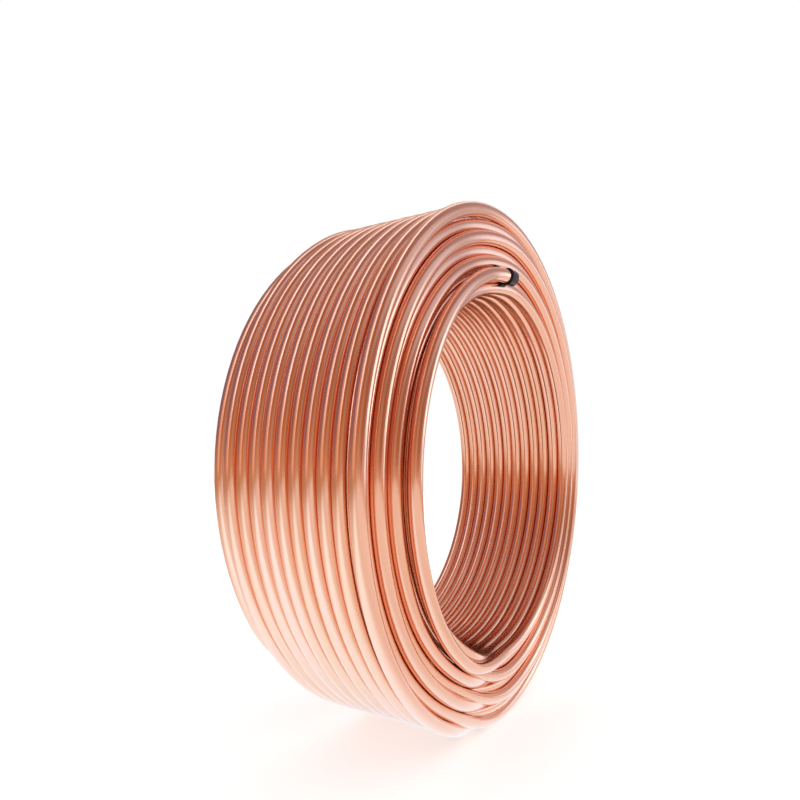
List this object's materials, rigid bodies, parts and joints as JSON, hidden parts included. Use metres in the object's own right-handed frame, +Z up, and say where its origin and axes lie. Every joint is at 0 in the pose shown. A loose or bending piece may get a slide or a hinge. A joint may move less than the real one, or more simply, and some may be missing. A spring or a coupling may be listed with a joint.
{
  "type": "copper tube coil",
  "caption": "Level-wound coil of bright soft copper tube standing on its rim, with a wide open bore and dark push-on caps on the free ends of the tube.",
  "frame": {"origin": "on the floor, at the bottom centre of the box round the coil and its capped ends", "axes": "+Z up; +Y level along the coil's axis, from the near face with the free inner end towards the far face"},
  "size_m": [0.5196, 0.1682, 0.5196],
  "materials": {
    "copper": "bright",
    "cap_plastic": "gloss"
  },
  "bodies": {
    "root": {"copper_tube": "copper", "inner_end_cap": "cap_plastic", "outer_end_cap": "cap_plastic"}
  },
  "joints": []
}
